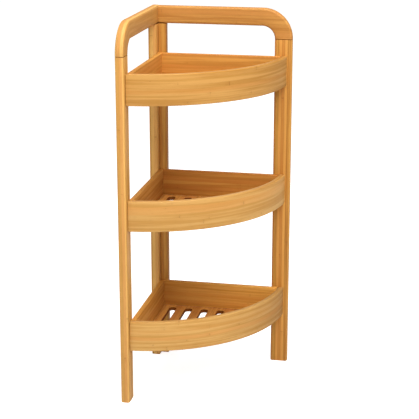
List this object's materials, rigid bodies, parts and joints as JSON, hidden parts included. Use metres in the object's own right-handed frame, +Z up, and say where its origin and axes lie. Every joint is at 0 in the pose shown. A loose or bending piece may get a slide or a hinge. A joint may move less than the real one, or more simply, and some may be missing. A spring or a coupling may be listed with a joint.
{
  "type": "corner shelf caddy",
  "caption": "Free-standing three-tier bamboo corner caddy: two side frames with rounded top rails hold quarter-round trays with bent front rims and slotted floors.",
  "frame": {"origin": "middle of the footprint, on the floor", "axes": "+Z up; the walls of the room are behind the -X side of the left frame and the +Y side of the right frame, so the open front faces +X and -Y"},
  "size_m": [0.272, 0.272, 0.7],
  "materials": {
    "bamboo_post": "satin lacquered bamboo, vertical strips",
    "bamboo_rail": "satin lacquered bamboo, level strips",
    "bamboo_rim": "satin lacquered bent bamboo",
    "bamboo_wall": "satin lacquered bamboo, level strips",
    "bamboo_floor": "satin lacquered bamboo, slotted panel",
    "dowel_wood": "bare beech",
    "screw_steel": "bright zinc plated"
  },
  "bodies": {
    "root": {"left_front_post": "bamboo_post", "right_front_post": "bamboo_post", "left_rear_post": "bamboo_post", "right_rear_post": "bamboo_post", "left_top_rail": "bamboo_rail", "right_top_rail": "bamboo_rail", "bottom_tray_rim": "bamboo_rim", "middle_tray_rim": "bamboo_rim", "top_tray_rim": "bamboo_rim", "bottom_tray_left_wall": "bamboo_wall", "middle_tray_left_wall": "bamboo_wall", "top_tray_left_wall": "bamboo_wall", "bottom_tray_right_wall": "bamboo_wall", "middle_tray_right_wall": "bamboo_wall", "top_tray_right_wall": "bamboo_wall", "bottom_tray_floor": "bamboo_floor", "middle_tray_floor": "bamboo_floor", "top_tray_floor": "bamboo_floor", "bottom_tray_left_front_screw": "screw_steel", "bottom_tray_right_front_screw": "screw_steel", "bottom_tray_left_rear_screw": "screw_steel", "bottom_tray_right_rear_screw": "screw_steel", "middle_tray_left_front_screw": "screw_steel", "middle_tray_right_front_screw": "screw_steel", "middle_tray_left_rear_screw": "screw_steel", "middle_tray_right_rear_screw": "screw_steel", "top_tray_left_front_screw": "screw_steel", "top_tray_right_front_screw": "screw_steel", "top_tray_left_rear_screw": "screw_steel", "top_tray_right_rear_screw": "screw_steel", "low_frame_screw": "screw_steel", "lower_bay_frame_screw": "screw_steel", "upper_bay_frame_screw": "screw_steel", "rail_frame_screw": "screw_steel", "left_seam_inner_dowel": "dowel_wood", "left_seam_outer_dowel": "dowel_wood", "left_rear_dowel": "dowel_wood", "right_seam_inner_dowel": "dowel_wood", "right_seam_outer_dowel": "dowel_wood", "right_rear_dowel": "dowel_wood"}
  },
  "joints": []
}
